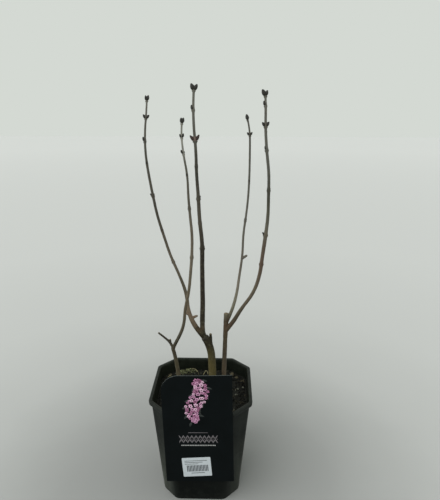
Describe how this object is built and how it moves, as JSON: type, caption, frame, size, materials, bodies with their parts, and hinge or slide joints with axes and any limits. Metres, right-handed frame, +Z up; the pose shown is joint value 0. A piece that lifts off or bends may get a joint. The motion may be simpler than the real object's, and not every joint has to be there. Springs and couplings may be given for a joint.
{
  "type": "potted lilac bush",
  "caption": "Young leafless lilac bush: forked bare stems with budded shoot tips, growing from soil in a square black nursery pot with a picture card hooked on its rim.",
  "frame": {"origin": "middle of the pot's flat underside, on the surface it stands on", "axes": "+Z up along the plant, the picture card on the pot's -Y side, +X to the right as seen from the card's side"},
  "size_m": [0.2265, 0.1979, 0.7486],
  "materials": {
    "pot_plastic": "satin black moulded polypropylene, a little dusty and scuffed on its edges",
    "potting_soil": "dark moist peat with bark crumbs, pale grit and patches of moss",
    "printed_card": "satin printed plastic card, near black, with a pink flower print and a white sticker",
    "old_bark": "rough olive-brown bark with fine cracks and raised pores",
    "young_bark": "smooth red-brown to grey-olive bark with pale pores",
    "shoot_tip": "grey-olive young shoot with scaled brown and green buds"
  },
  "bodies": {
    "root": {"pot": "pot_plastic", "soil": "potting_soil", "label_card": "printed_card", "centre_stem": "old_bark", "left_stem": "old_bark", "right_stem": "old_bark", "tall_bough": "young_bark", "far_left_bough": "young_bark", "left_bough": "young_bark", "outer_right_bough": "young_bark", "inner_right_bough": "young_bark", "tall_tip": "shoot_tip", "far_left_tip": "shoot_tip", "left_tip": "shoot_tip", "outer_right_tip": "shoot_tip", "inner_right_tip": "shoot_tip"}
  },
  "joints": []
}
